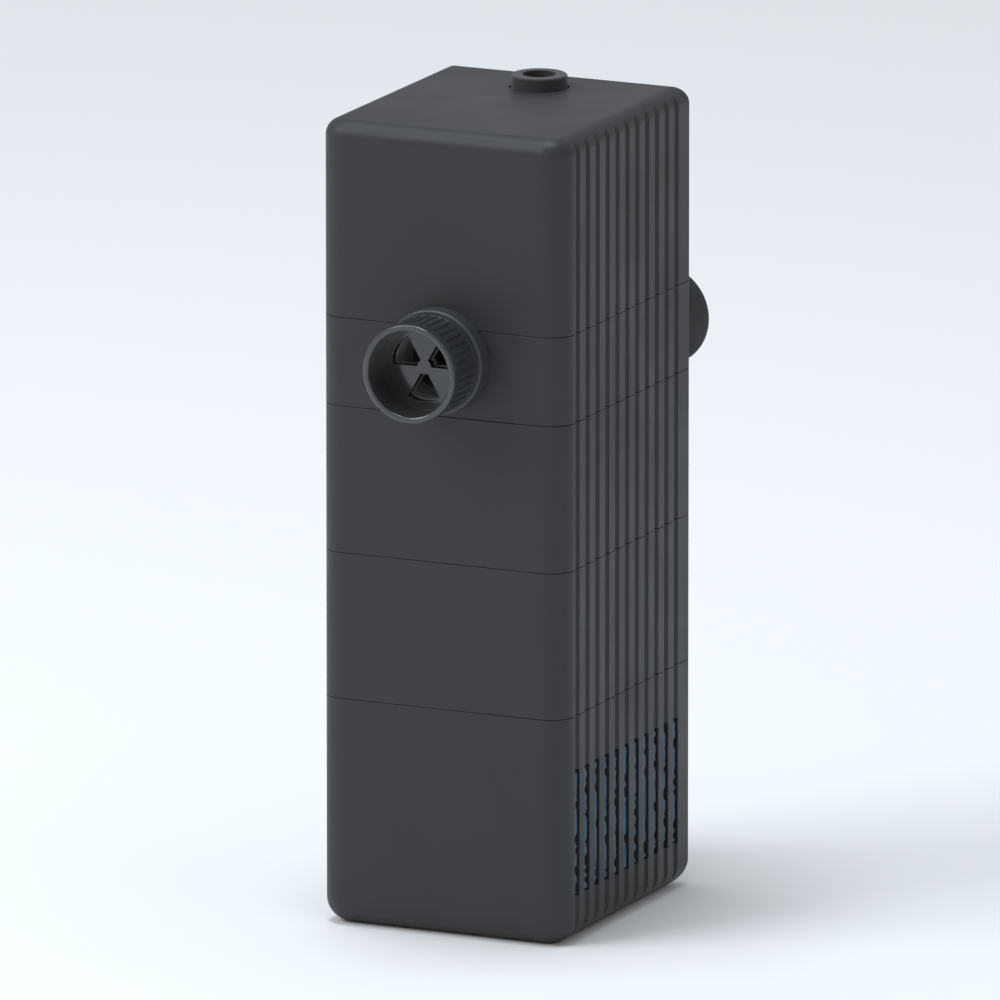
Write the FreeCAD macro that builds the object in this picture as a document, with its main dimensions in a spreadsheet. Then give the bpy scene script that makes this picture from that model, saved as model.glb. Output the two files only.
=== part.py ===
import FreeCAD, Part
import math
import os
import re

import Sketcher

# Internal power filter, in millimetres. A stack of square modules stands on its intake base: two media
# trays, the pump ring with the outlet nozzle and the suction cups, and the top cover over the motor.
# The origin is the middle of the base's underside. +Z is up, and the nozzle points along -Y.

DIMENSIONS = {
    # how far a hole's cutter runs past the wall that it goes through
    "cut_overshoot": 1.0,
    # outer shell
    "width": 41.0,
    "depth": 46.5,
    "front_corner": 4.0,
    "back_corner": 0.9,
    "base_rounding": 3.9,
    "top_rounding": 2.6,
    "wall": 1.8,
    "shadow_gap": 0.12,
    # heights of the seams between the modules
    "base_top": 35.45,
    "lower_tray_top": 58.2,
    "upper_tray_top": 81.0,
    "pump_ring_top": 94.7,
    "height": 125.0,
    # fluted sides
    "flute_pitch": 3.6,
    "flute_count": 11,
    "first_flute": 5.1,
    "flute_radius": 0.8,
    "flute_set_out": 0.2,
    "slot_width": 1.8,
    "slot_bottom": 7.3,
    "slot_top": 27.0,
    "screen_wall": 1.25,
    "screen_margin": 0.8,
    "screen_depth": 39.2,
    # how one module sits in the next
    "spigot_depth": 3.0,
    "spigot_wall": 1.2,
    "spigot_clearance": 0.2,
    "floor": 1.6,
    "stop_rib_width": 10.0,
    "stop_rib_depth": 1.5,
    "grid_slot_width": 2.6,
    "grid_slot_pitch": 4.6,
    "grid_slot_count": 7,
    "grid_slot_length": 33.0,
    # media
    "sponge_gap": 0.3,
    "cheek_gap": 0.05,
    "media_gap": 0.2,
    "ring_radius": 3.9,
    "ring_bore_radius": 2.1,
    "ring_length": 8.0,
    "ring_pitch_across": 8.7,
    "ring_pitch_deep": 9.2,
    "rings_across": 4,
    "rings_deep": 4,
    "ring_layers": 2,
    "carbon_thickness": 9.3,
    # outlet nozzle
    "nozzle_height": 89.85,
    "nozzle_reach": 11.4,
    "collar_radius": 8.15,
    "collar_length": 2.9,
    "neck_radius": 6.6,
    "neck_clearance": 0.1,
    "neck_length": 2.85,
    "journal_radius": 5.9,
    "journal_length": 1.55,
    "running_gap": 0.08,
    "flow_ring_radius": 7.6,
    "flow_ring_mouth_radius": 6.65,
    "flow_ring_recess": 5.7,
    "flow_disc_thickness": 1.2,
    "shutter_thickness": 1.1,
    "knurl_count": 38,
    "knurl_radius": 0.38,
    "knurl_set_out": 0.13,
    "knurl_start": 1.5,
    "knurl_length": 6.2,
    "rim_rounding": 0.3,
    "window_inner_radius": 1.15,
    "window_outer_radius": 5.35,
    "window_angle": 60.0,
    "window_count": 3,
    # suction cups
    "cup_spacing": 24.4,
    "cup_height": 86.9,
    "cup_radius": 7.85,
    "cup_stand_off": 8.0,
    "cup_lip": 0.8,
    "cup_bell": 3.4,
    "cup_wall": 0.9,
    "cup_neck_radius": 2.7,
    "cup_shoulder_radius": 4.0,
    "cup_shoulder": 1.6,
    "cup_stem_radius": 2.4,
    "cup_head_radius": 3.5,
    "cup_head": 1.4,
    # pump, on the rotor's upright axis
    "rotor_back": -2.0,
    "chamber_radius": 11.6,
    "chamber_wall": 1.4,
    "impeller_cover_thickness": 1.5,
    "intake_radius": 7.2,
    "eye_outer_radius": 6.2,
    "eye_hub_radius": 3.0,
    "eye_arm_width": 1.4,
    "eye_arm_count": 3,
    "volute_top": 95.6,
    "outlet_bore_radius": 4.6,
    "outlet_tube_radius": 5.4,
    "outlet_shoulder_radius": 6.6,
    "outlet_shoulder_length": 2.4,
    "outlet_seal_thickness": 1.0,
    "gasket_thickness": 0.8,
    "impeller_radius": 10.2,
    "impeller_bottom": 85.4,
    "impeller_top": 95.2,
    "impeller_disc": 1.2,
    "impeller_hub_radius": 3.6,
    "vane_count": 6,
    "vane_thickness": 0.9,
    "magnet_radius": 6.4,
    "magnet_bottom": 96.6,
    "magnet_length": 18.0,
    "shaft_radius": 1.0,
    "shaft_bottom": 83.0,
    "shaft_length": 34.0,
    "bush_radius": 2.0,
    "bush_length": 2.0,
    "top_bush_radius": 3.0,
    "top_bush_bottom": 115.2,
    "top_bush_length": 2.2,
    # motor
    "motor_width": 33.2,
    "motor_front": -14.0,
    "motor_back": 19.3,
    "motor_top": 119.0,
    "motor_wall": 1.4,
    "motor_corner": 3.0,
    "well_radius": 7.9,
    "well_bore_radius": 7.1,
    "well_cap": 1.2,
    "resin_drop": 0.8,
    "core_width": 25.0,
    "core_front": -10.0,
    "core_back": 17.0,
    "core_bottom": 101.0,
    "core_top": 111.0,
    "core_bore_radius": 8.1,
    "core_slit": 2.0,
    "coil_front": 6.2,
    "coil_back": 12.6,
    "leg_width": 4.5,
    "bobbin_wall": 0.6,
    "bobbin_flange": 0.8,
    "winding_thickness": 1.8,
    "motor_post_radius": 2.1,
    "motor_post_across": 29.0,
    "motor_post_front": -11.5,
    "motor_post_back": 15.5,
    "motor_pad_thickness": 2.0,
    "motor_pad_radius": 2.0,
    # cable gland
    "gland_back": 12.5,
    "gland_radius": 4.3,
    "gland_flange_radius": 5.2,
    "gland_flange": 1.6,
    "gland_top": 127.0,
    "gland_bore_radius": 2.6,
    "gland_bore_depth": 7.0,
    "gland_clearance": 0.3,
}

ALIASES = re.compile(r"\b(" + "|".join(sorted(DIMENSIONS, key=len, reverse=True)) + r")\b")

doc = FreeCAD.newDocument("internal_power_filter")
sheet = doc.addObject("Spreadsheet::Sheet", "dims")
for row, (alias, size) in enumerate(DIMENSIONS.items(), start=1):
    sheet.set(f"A{row}", alias)
    sheet.set(f"B{row}", str(size))
    sheet.setAlias(f"B{row}", alias)
doc.recompute()

parts = []


def bound(formula):
    """A formula of sheet aliases as an expression that reads the sheet."""
    return ALIASES.sub(r"dims.\1", str(formula))


def bind(thing, **formulas):
    """Binds properties to formulas. A double underscore in a name stands for the dot of a sub-property."""
    for name, formula in formulas.items():
        thing.setExpression(name.replace("__", "."), bound(formula))
    return thing


def new_body(label, across="0", back="0", up="0"):
    """An empty body of its own name, placed by formulas."""
    body = doc.addObject("PartDesign::Body", label)
    body.Label = label
    bind(body, Placement__Base__x=across, Placement__Base__y=back, Placement__Base__z=up)
    parts.append(body)
    return body


def origin_of(body, role):
    return next(item for item in body.Origin.OriginFeatures if item.Role == role)


def attach(thing, body, plane, at):
    """Puts a sketch or a primitive on a plane of its own body, moved by formulas in the plane's axes."""
    thing.AttachmentSupport = (origin_of(body, plane), [""])
    thing.MapMode = "FlatFace"
    across, up, out = at
    return bind(
        thing,
        AttachmentOffset__Base__x=across,
        AttachmentOffset__Base__y=up,
        AttachmentOffset__Base__z=out,
    )


def new_sketch(body, name, plane="XY_Plane", at=("0", "0", "0")):
    return attach(body.newObject("Sketcher::SketchObject", name), body, plane, at)


def primitive(body, kind, name, at=("0", "0", "0"), plane="XY_Plane", **sizes):
    """One of PartDesign's own additive or subtractive primitives, with its sizes bound."""
    made = body.newObject("PartDesign::" + kind, name)
    attach(made, body, plane, at)
    return bind(made, **sizes)


def constrain(sketch, constraints):
    """Adds constraints, given as arguments or as (arguments, formula) where a formula drives the value."""
    for entry in constraints:
        arguments, formula = entry if isinstance(entry[0], tuple) else (entry, None)
        number = sketch.addConstraint(Sketcher.Constraint(*arguments))
        if formula is not None:
            sketch.setExpression(f"Constraints[{number}]", bound(formula))


ORIGIN_POINT = (-1, 1)
VERTICAL_AXIS = -2
START, END, CENTRE = 1, 2, 3

# Where a sketch's lines are first drawn, before its constraints move them into place.
DRAFT_HALF_WIDTH = 15.0
DRAFT_HALF_DEPTH = 18.0
DRAFT_RADIUS = 1.0
DRAFT_OFFSET = 2.0

# Edges closer than this to a plane lie in it.
SAME_PLACE = 0.01


def rounded_rectangle(sketch, width, depth, front, back):
    """A closed outline centred on the sketch's origin. Its front and back corners have a radius each."""
    half_width, half_depth, radius = DRAFT_HALF_WIDTH, DRAFT_HALF_DEPTH, DRAFT_RADIUS
    turns = ((1, -1, 270), (1, 1, 0), (-1, 1, 90), (-1, -1, 180))
    corners = []
    for side, end, angle in turns:
        middle = FreeCAD.Vector(side * (half_width - radius), end * (half_depth - radius), 0)
        circle = Part.Circle(middle, FreeCAD.Vector(0, 0, 1), radius)
        corners.append(Part.ArcOfCircle(circle, math.radians(angle), math.radians(angle + 90)))
    arcs = [sketch.addGeometry(corner, False) for corner in corners]
    lines = []
    for number, corner in enumerate(corners):
        following = corners[(number + 1) % len(corners)]
        lines.append(sketch.addGeometry(Part.LineSegment(corner.EndPoint, following.StartPoint), False))
    joins = []
    for number in range(len(corners)):
        joins.append(("Tangent", arcs[number], END, lines[number], START))
        joins.append(("Tangent", lines[number], END, arcs[(number + 1) % len(corners)], START))
    right, rear, left, face = lines
    constrain(
        sketch,
        joins
        + [
            ("Vertical", right),
            ("Vertical", left),
            ("Horizontal", rear),
            ("Equal", arcs[0], arcs[3]),
            ("Equal", arcs[1], arcs[2]),
            (("Radius", arcs[0], radius), front),
            (("Radius", arcs[1], radius), back),
            (("DistanceX", face, START, face, END, half_width), f"({width}) - 2 * ({front})"),
            ("Symmetric", face, START, face, END, VERTICAL_AXIS),
            (("DistanceY", *ORIGIN_POINT, rear, START, half_depth), f"({depth}) / 2"),
            (("DistanceY", face, START, *ORIGIN_POINT, half_depth), f"({depth}) / 2"),
        ],
    )


def circle(sketch, across, up, radius):
    """A circle whose centre stands at (across, up) from the sketch's origin."""
    middle = FreeCAD.Vector(DRAFT_OFFSET, DRAFT_OFFSET, 0)
    drawn = sketch.addGeometry(Part.Circle(middle, FreeCAD.Vector(0, 0, 1), DRAFT_RADIUS), False)
    constrain(
        sketch,
        [
            (("Radius", drawn, DRAFT_RADIUS), radius),
            (("DistanceX", *ORIGIN_POINT, drawn, CENTRE, DRAFT_OFFSET), across),
            (("DistanceY", *ORIGIN_POINT, drawn, CENTRE, DRAFT_OFFSET), up),
        ],
    )


def sweep(body, kind, name, sketch, length=None, backwards=False, through_all=False):
    """A Pad or a Pocket of a sketch. backwards sends it to the other side of the sketch."""
    made = body.newObject("PartDesign::" + kind, name)
    made.Profile = sketch
    made.Reversed = backwards
    if through_all:
        made.Type = "ThroughAll"
    else:
        bind(made, Length=length)
    return made


def repeat_along(body, name, feature, axis, pitch, count):
    """A row of copies of a feature along one of the body's own axes."""
    row = body.newObject("PartDesign::LinearPattern", name)
    row.Originals = [feature]
    row.Direction = (origin_of(body, axis), [""])
    bind(row, Length=f"({pitch}) * ({count} - 1)", Occurrences=count)
    body.Tip = row


def repeat_round(body, name, feature, axis, count):
    """A full ring of copies of a feature about one of the body's own axes."""
    ring = body.newObject("PartDesign::PolarPattern", name)
    ring.Originals = [feature]
    ring.Axis = (origin_of(body, axis), [""])
    ring.Angle = 360
    bind(ring, Occurrences=count)
    body.Tip = ring


def round_edges(body, name, radius, wanted):
    """Fillets the edges of the body's tip that the test picks out."""
    doc.recompute()
    base = body.Tip
    names = [f"Edge{n}" for n, edge in enumerate(base.Shape.Edges, start=1) if wanted(edge)]
    fillet = body.newObject("PartDesign::Fillet", name)
    fillet.Base = (base, names)
    bind(fillet, Radius=radius)


def lies_at(axis, place):
    """A test for edges that lie wholly at one place along an axis."""

    def test(edge):
        low = getattr(edge.BoundBox, axis + "Min")
        high = getattr(edge.BoundBox, axis + "Max")
        return abs(low - place) < SAME_PLACE and abs(high - place) < SAME_PLACE

    return test


# ---------------------------------------------------------------- the four square modules and the cover


def module_block(body, bottom, top):
    """The solid block of one module: the common outline, standing between two seams."""
    outline = new_sketch(body, "outline", at=("0", "0", bottom))
    rounded_rectangle(outline, "width", "depth", "front_corner", "back_corner")
    sweep(body, "Pad", "block", outline, f"({top}) - ({bottom})")


def flute_sides(body, bottom):
    """Upright flutes down both sides, each a shallow round groove at one pitch from the next."""
    section = new_sketch(body, "flute_section", at=("0", "-depth / 2 + first_flute", bottom))
    for side in ("-", ""):
        circle(section, f"{side}(width / 2 + flute_set_out)", "0", "flute_radius")
    flute = sweep(body, "Pocket", "flute", section, backwards=True, through_all=True)
    repeat_along(body, "flutes", flute, "Y_Axis", "flute_pitch", "flute_count")


def hollow_down(body, top, depth):
    """The cavity of a module that is open at the top."""
    cavity = new_sketch(body, "cavity", at=("0", "0", top))
    rounded_rectangle(
        cavity,
        "width - 2 * wall",
        "depth - 2 * wall",
        "front_corner - wall",
        "back_corner",
    )
    sweep(body, "Pocket", "hollow", cavity, depth)


def spigot(body, seam, height):
    """The thinner skirt under a module that drops into the module below it."""
    skirt = new_sketch(body, "skirt", at=("0", "0", f"{seam} - spigot_depth"))
    inset = "(wall + spigot_clearance)"
    rounded_rectangle(
        skirt,
        f"width - 2 * {inset}",
        f"depth - 2 * {inset}",
        f"front_corner - {inset}",
        "back_corner",
    )
    inset = "(wall + spigot_clearance + spigot_wall)"
    rounded_rectangle(
        skirt,
        f"width - 2 * {inset}",
        f"depth - 2 * {inset}",
        f"front_corner - {inset}",
        "back_corner / 2",
    )
    sweep(body, "Pad", "spigot", skirt, height)


def stop_ribs(body, floor, top):
    """Two low ribs inside the front and rear walls. The skirt of the module above stands on them."""
    for name, low in (
        ("front_stop", "-depth / 2 + wall"),
        ("rear_stop", "depth / 2 - wall - stop_rib_depth"),
    ):
        primitive(
            body,
            "AdditiveBox",
            name,
            at=("-stop_rib_width / 2", low, floor),
            Length="stop_rib_width",
            Width="stop_rib_depth",
            Height=f"{top} - spigot_depth - ({floor})",
        )


def floor_grid(body, bottom):
    """Long slots through a tray's floor, for the water to rise through."""
    first_left = "-grid_slot_pitch * (grid_slot_count - 1) / 2 - grid_slot_width / 2"
    first = primitive(
        body,
        "SubtractiveBox",
        "grid_slot",
        at=(first_left, "-grid_slot_length / 2", bottom),
        Length="grid_slot_width",
        Width="grid_slot_length",
        Height="floor",
    )
    repeat_along(body, "grid", first, "X_Axis", "grid_slot_pitch", "grid_slot_count")


def make_intake_base():
    """The bottom cup, with the intake slots in the lower part of its flutes."""
    body = new_body("intake_base")
    module_block(body, "0", "base_top")
    round_edges(body, "rounded_underside", "base_rounding", lies_at("Z", 0))
    flute_sides(body, "0")
    hollow_down(body, "base_top", "base_top - wall")
    stop_ribs(body, "wall", "base_top")
    primitive(
        body,
        "SubtractiveBox",
        "thin_screens",
        at=("-width / 2 + screen_wall", "-screen_depth / 2", "slot_bottom - screen_margin"),
        Length="width - 2 * screen_wall",
        Width="screen_depth",
        Height="slot_top - slot_bottom + 2 * screen_margin",
    )
    slot = primitive(
        body,
        "SubtractiveBox",
        "intake_slot",
        at=("-width / 2 - cut_overshoot", "-depth / 2 + first_flute - slot_width / 2", "slot_bottom"),
        Length="width + 2 * cut_overshoot",
        Width="slot_width",
        Height="slot_top - slot_bottom",
    )
    repeat_along(body, "intake_slots", slot, "Y_Axis", "flute_pitch", "flute_count")


def make_tray(label, seam, top):
    """A media tray: four walls, a slotted floor and the skirt below."""
    body = new_body(label)
    bottom = f"{seam} + shadow_gap"
    module_block(body, bottom, top)
    flute_sides(body, bottom)
    hollow_down(body, top, f"{top} - {seam} - shadow_gap - floor")
    stop_ribs(body, f"{bottom} + floor", top)
    spigot(body, seam, "spigot_depth + shadow_gap + floor / 2")
    floor_grid(body, bottom)


def make_pump_ring():
    """The short module that carries the pump, the nozzle and the suction cups."""
    body = new_body("pump_ring")
    bottom = "upper_tray_top + shadow_gap"
    module_block(body, bottom, "pump_ring_top")
    flute_sides(body, bottom)
    hollow_down(body, "pump_ring_top", "pump_ring_top - upper_tray_top - shadow_gap - floor")
    spigot(body, "upper_tray_top", "spigot_depth + shadow_gap + floor / 2")
    primitive(
        body,
        "SubtractiveCylinder",
        "intake_hole",
        at=("0", "rotor_back", bottom),
        Radius="intake_radius",
        Height="floor",
    )
    posts = new_sketch(body, "post_sections", at=("0", "0", f"{bottom} + floor / 2"))
    for side in ("-", ""):
        for back in ("motor_post_front", "motor_post_back"):
            circle(posts, f"{side}(motor_post_across / 2)", back, "motor_post_radius")
    lift = "volute_top + gasket_thickness - motor_pad_thickness - upper_tray_top - shadow_gap - floor / 2"
    sweep(body, "Pad", "motor_posts", posts, lift)
    cut_nozzle_hole(body, "neck_radius + neck_clearance")
    for name, side in (("left_cup_hole", "-"), ("right_cup_hole", "")):
        primitive(
            body,
            "SubtractiveCylinder",
            name,
            plane="XZ_Plane",
            at=(f"{side}(cup_spacing / 2)", "cup_height", "-depth / 2 - cut_overshoot"),
            Radius="cup_stem_radius",
            Height="wall + 2 * cut_overshoot",
        )


def cut_nozzle_hole(body, radius):
    """The round hole for the outlet's neck, cut back through the front wall and any skirt behind it."""
    reach = "(wall + spigot_clearance + spigot_wall + cut_overshoot)"
    primitive(
        body,
        "SubtractiveCylinder",
        "nozzle_hole",
        plane="XZ_Plane",
        at=("0", "nozzle_height", f"depth / 2 - {reach}"),
        Radius=radius,
        Height=f"{reach} + cut_overshoot",
    )


def make_top_cover():
    """The cap over the motor, open below, with a hole for the cable gland."""
    body = new_body("top_cover")
    bottom = "pump_ring_top + shadow_gap"
    module_block(body, bottom, "height")
    round_edges(body, "rounded_top", "top_rounding", lies_at("Z", DIMENSIONS["height"]))
    flute_sides(body, bottom)
    room = new_sketch(body, "room", at=("0", "0", f"{bottom} + floor"))
    rounded_rectangle(
        room, "width - 2 * wall", "depth - 2 * wall", "front_corner - wall", "back_corner"
    )
    sweep(body, "Pocket", "hollow", room, f"height - wall - ({bottom}) - floor", backwards=True)
    spigot(body, "pump_ring_top", "spigot_depth + shadow_gap + floor / 2")
    mouth = new_sketch(body, "mouth", at=("0", "0", bottom))
    inset = "(wall + spigot_clearance + spigot_wall)"
    rounded_rectangle(
        mouth,
        f"width - 2 * {inset}",
        f"depth - 2 * {inset}",
        f"front_corner - {inset}",
        "back_corner / 2",
    )
    sweep(body, "Pocket", "mouth_hole", mouth, "floor", backwards=True)
    cut_nozzle_hole(body, "neck_radius + neck_clearance")
    primitive(
        body,
        "SubtractiveCylinder",
        "gland_hole",
        at=("0", "gland_back", "height - wall - cut_overshoot"),
        Radius="gland_radius + gland_clearance",
        Height="wall + 2 * cut_overshoot",
    )


# ---------------------------------------------------------------- media


def make_pad(label, bottom, thickness):
    """A plain block of foam or floss that fills a tray from side to side."""
    body = new_body(label)
    outline = new_sketch(body, "outline", at=("0", "0", bottom))
    rounded_rectangle(
        outline,
        "width - 2 * wall - 2 * sponge_gap",
        "depth - 2 * wall - 2 * stop_rib_depth - 2 * sponge_gap",
        "front_corner - wall",
        "front_corner - wall",
    )
    sweep(body, "Pad", "block", outline, thickness)
    return body


def make_media():
    """The sponge in the base, the ceramic rings, and the carbon and floss pads above them."""
    sponge = make_pad(
        "coarse_sponge", "wall + media_gap", "base_top - spigot_depth - wall - 2 * media_gap"
    )
    primitive(
        sponge,
        "AdditiveBox",
        "cheeks",
        at=(
            "-width / 2 + screen_wall + cheek_gap",
            "-screen_depth / 2 + sponge_gap",
            "slot_bottom - screen_margin + sponge_gap",
        ),
        Length="width - 2 * screen_wall - 2 * cheek_gap",
        Width="screen_depth - 2 * sponge_gap",
        Height="slot_top - slot_bottom + 2 * screen_margin - 2 * sponge_gap",
    )
    upper_floor = "lower_tray_top + shadow_gap + floor"
    make_pad("carbon_sponge", f"{upper_floor} + media_gap", "carbon_thickness")
    floss_bottom = f"{upper_floor} + 2 * media_gap + carbon_thickness"
    make_pad("floss_pad", floss_bottom, f"upper_tray_top - spigot_depth - media_gap - ({floss_bottom})")


def make_ceramic_rings():
    """Short sintered tubes standing in rows, one layer on the other."""
    size = {name: sheet.get(name) for name in DIMENSIONS}
    floor_top = size["base_top"] + size["shadow_gap"] + size["floor"] + size["media_gap"]
    rings = []
    for layer in range(int(size["ring_layers"])):
        bottom = floor_top + layer * (size["ring_length"] + size["media_gap"])
        for column in range(int(size["rings_across"])):
            across = (column - (size["rings_across"] - 1) / 2) * size["ring_pitch_across"]
            for line in range(int(size["rings_deep"])):
                back = (line - (size["rings_deep"] - 1) / 2) * size["ring_pitch_deep"]
                foot = FreeCAD.Vector(across, back, bottom)
                tube = Part.makeCylinder(size["ring_radius"], size["ring_length"], foot)
                bore = Part.makeCylinder(size["ring_bore_radius"], size["ring_length"], foot)
                rings.append(tube.cut(bore))
    group = doc.addObject("Part::Feature", "ceramic_rings")
    group.Label = "ceramic_rings"
    group.Shape = Part.makeCompound(rings)
    parts.append(group)


# ---------------------------------------------------------------- outlet nozzle

STRAIGHT_DOWN = math.radians(270)


def cut_windows(body, face, depth):
    """Three windows between solid sectors, round the nozzle's axis. The first window points down."""
    window = new_sketch(body, "window_outline", plane="XZ_Plane", at=("0", "0", face))
    inner, outer = DIMENSIONS["window_inner_radius"], DIMENSIONS["window_outer_radius"]
    angle = math.radians(DIMENSIONS["window_angle"])
    centre, normal = FreeCAD.Vector(0, 0, 0), FreeCAD.Vector(0, 0, 1)
    low, high = STRAIGHT_DOWN - angle / 2, STRAIGHT_DOWN + angle / 2
    arcs = []
    for radius in (inner, outer):
        arc = Part.ArcOfCircle(Part.Circle(centre, normal, radius), low, high)
        arcs.append(window.addGeometry(arc, False))
    small, large = arcs
    sides = []
    for turn in (low, high):
        near = FreeCAD.Vector(inner * math.cos(turn), inner * math.sin(turn), 0)
        far = FreeCAD.Vector(outer * math.cos(turn), outer * math.sin(turn), 0)
        sides.append(window.addGeometry(Part.LineSegment(near, far), False))
    left, right = sides
    constrain(
        window,
        [
            ("Coincident", small, CENTRE, *ORIGIN_POINT),
            ("Coincident", large, CENTRE, *ORIGIN_POINT),
            ("Coincident", left, START, small, START),
            ("Coincident", left, END, large, START),
            ("Coincident", right, START, small, END),
            ("Coincident", right, END, large, END),
            ("PointOnObject", *ORIGIN_POINT, left),
            (("Radius", small, inner), "window_inner_radius"),
            (("Radius", large, outer), "window_outer_radius"),
            ("Symmetric", large, START, large, END, VERTICAL_AXIS),
            ("Symmetric", small, START, small, END, VERTICAL_AXIS),
            (("Angle", left, START, right, START, angle), "window_angle"),
        ],
    )
    cut = sweep(body, "Pocket", "window", window, depth)
    repeat_round(body, "windows", cut, "Y_Axis", "window_count")


def make_outlet_collar():
    """The fixed mouth of the outlet: neck through the wall, stop collar, and the flow ring's journal."""
    body = new_body("outlet_collar", back="-depth / 2", up="nozzle_height")
    primitive(
        body,
        "AdditiveCylinder",
        "neck",
        plane="XZ_Plane",
        at=("0", "0", "-neck_length"),
        Radius="neck_radius",
        Height="neck_length",
    )
    primitive(
        body,
        "AdditiveCylinder",
        "stop_collar",
        plane="XZ_Plane",
        Radius="collar_radius",
        Height="collar_length",
    )
    round_edges(
        body,
        "collar_edge",
        "rim_rounding",
        lies_at("Y", -DIMENSIONS["collar_length"]),
    )
    primitive(
        body,
        "AdditiveCylinder",
        "journal",
        plane="XZ_Plane",
        at=("0", "0", "collar_length"),
        Radius="journal_radius",
        Height="journal_length",
    )
    primitive(
        body,
        "SubtractiveCylinder",
        "bore",
        plane="XZ_Plane",
        at=("0", "0", "-neck_length"),
        Radius="outlet_tube_radius",
        Height="neck_length + collar_length + journal_length - shutter_thickness",
    )
    cut_windows(body, "collar_length + journal_length", "shutter_thickness")


def make_flow_ring():
    """The knurled ring that is turned by hand. Its own three-sector disc slides over the fixed one."""
    body = new_body("flow_ring", back="-depth / 2 - nozzle_reach", up="nozzle_height")
    length = "(nozzle_reach - collar_length - running_gap)"
    primitive(
        body,
        "AdditiveCylinder",
        "barrel",
        plane="XZ_Plane",
        at=("0", "0", f"-{length}"),
        Radius="flow_ring_radius",
        Height=length,
    )
    primitive(
        body,
        "SubtractiveCylinder",
        "mouth",
        plane="XZ_Plane",
        at=("0", "0", "-flow_ring_recess"),
        Radius="flow_ring_mouth_radius",
        Height="flow_ring_recess",
    )
    round_edges(body, "rim", "rim_rounding", lies_at("Y", 0))
    primitive(
        body,
        "SubtractiveCylinder",
        "journal_bore",
        plane="XZ_Plane",
        at=("0", "0", f"-{length}"),
        Radius="journal_radius + running_gap",
        Height=f"{length} - flow_ring_recess - flow_disc_thickness",
    )
    groove = primitive(
        body,
        "SubtractiveCylinder",
        "knurl_groove",
        plane="XZ_Plane",
        at=("0", "flow_ring_radius + knurl_set_out", "-knurl_start - knurl_length"),
        Radius="knurl_radius",
        Height="knurl_length",
    )
    repeat_round(body, "knurl", groove, "Y_Axis", "knurl_count")
    cut_windows(body, "-flow_ring_recess", "flow_disc_thickness")


# ---------------------------------------------------------------- suction cups


def cup_cylinder(body, name, radius, start, length):
    """A cylinder on the cup's axis, reaching from start towards the glass."""
    primitive(
        body,
        "AdditiveCylinder",
        name,
        plane="XZ_Plane",
        at=("0", "0", f"-({start}) - ({length})"),
        Radius=radius,
        Height=length,
    )


def make_suction_cup(label, side):
    """A rubber cup on the back: head inside the wall, stem, shoulder, neck and the bell on the glass."""
    body = new_body(label, across=f"{side}(cup_spacing / 2)", back="depth / 2", up="cup_height")
    bell_start = "(cup_stand_off - cup_lip - cup_bell)"
    for name, radius, start, length in (
        ("head", "cup_head_radius", "-wall - cup_head", "cup_head"),
        ("stem", "cup_stem_radius", "-wall", "wall"),
        ("shoulder", "cup_shoulder_radius", "0", "cup_shoulder"),
        ("neck", "cup_neck_radius", "cup_shoulder", f"{bell_start} - cup_shoulder"),
    ):
        cup_cylinder(body, name, radius, start, length)
    primitive(
        body,
        "AdditiveCone",
        "bell",
        plane="XZ_Plane",
        at=("0", "0", f"-{bell_start} - cup_bell"),
        Radius1="cup_radius",
        Radius2="cup_neck_radius",
        Height="cup_bell",
    )
    cup_cylinder(body, "lip", "cup_radius", "cup_stand_off - cup_lip", "cup_lip")
    primitive(
        body,
        "SubtractiveCone",
        "hollow",
        plane="XZ_Plane",
        at=("0", "0", "-cup_stand_off"),
        Radius1="cup_radius - cup_wall",
        Radius2="cup_wall / 2",
        Height="cup_lip + cup_bell - cup_wall",
    )


# ---------------------------------------------------------------- pump


def upright(body, kind, name, radius, bottom, height):
    """An upright cylinder on the rotor's axis."""
    return primitive(
        body, kind, name, at=("0", "0", bottom), Radius=radius, Height=height
    )


def make_impeller_cover():
    """The lid under the pump chamber, with the intake eye round the lower bush."""
    body = new_body("impeller_cover", back="rotor_back")
    bottom = "upper_tray_top + shadow_gap + floor"
    thickness = "impeller_cover_thickness"
    upright(body, "AdditiveCylinder", "plate", "chamber_radius + chamber_wall", bottom, thickness)
    upright(body, "SubtractiveCylinder", "eye", "eye_outer_radius", bottom, thickness)
    upright(body, "AdditiveCylinder", "hub", "eye_hub_radius", bottom, thickness)
    arm = primitive(
        body,
        "AdditiveBox",
        "arm",
        at=("-eye_arm_width / 2", "eye_hub_radius - bush_radius / 2", bottom),
        Length="eye_arm_width",
        Width="eye_outer_radius - eye_hub_radius + bush_radius",
        Height=thickness,
    )
    repeat_round(body, "arms", arm, "Z_Axis", "eye_arm_count")
    upright(body, "SubtractiveCylinder", "bush_seat", "bush_radius", bottom, thickness)


def make_bush(label, bottom, length, radius):
    """A soft bush that holds one end of the fixed shaft."""
    body = new_body(label, back="rotor_back")
    upright(body, "AdditiveCylinder", "bush", radius, bottom, length)
    upright(body, "SubtractiveCylinder", "bore", "shaft_radius", bottom, length)


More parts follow.
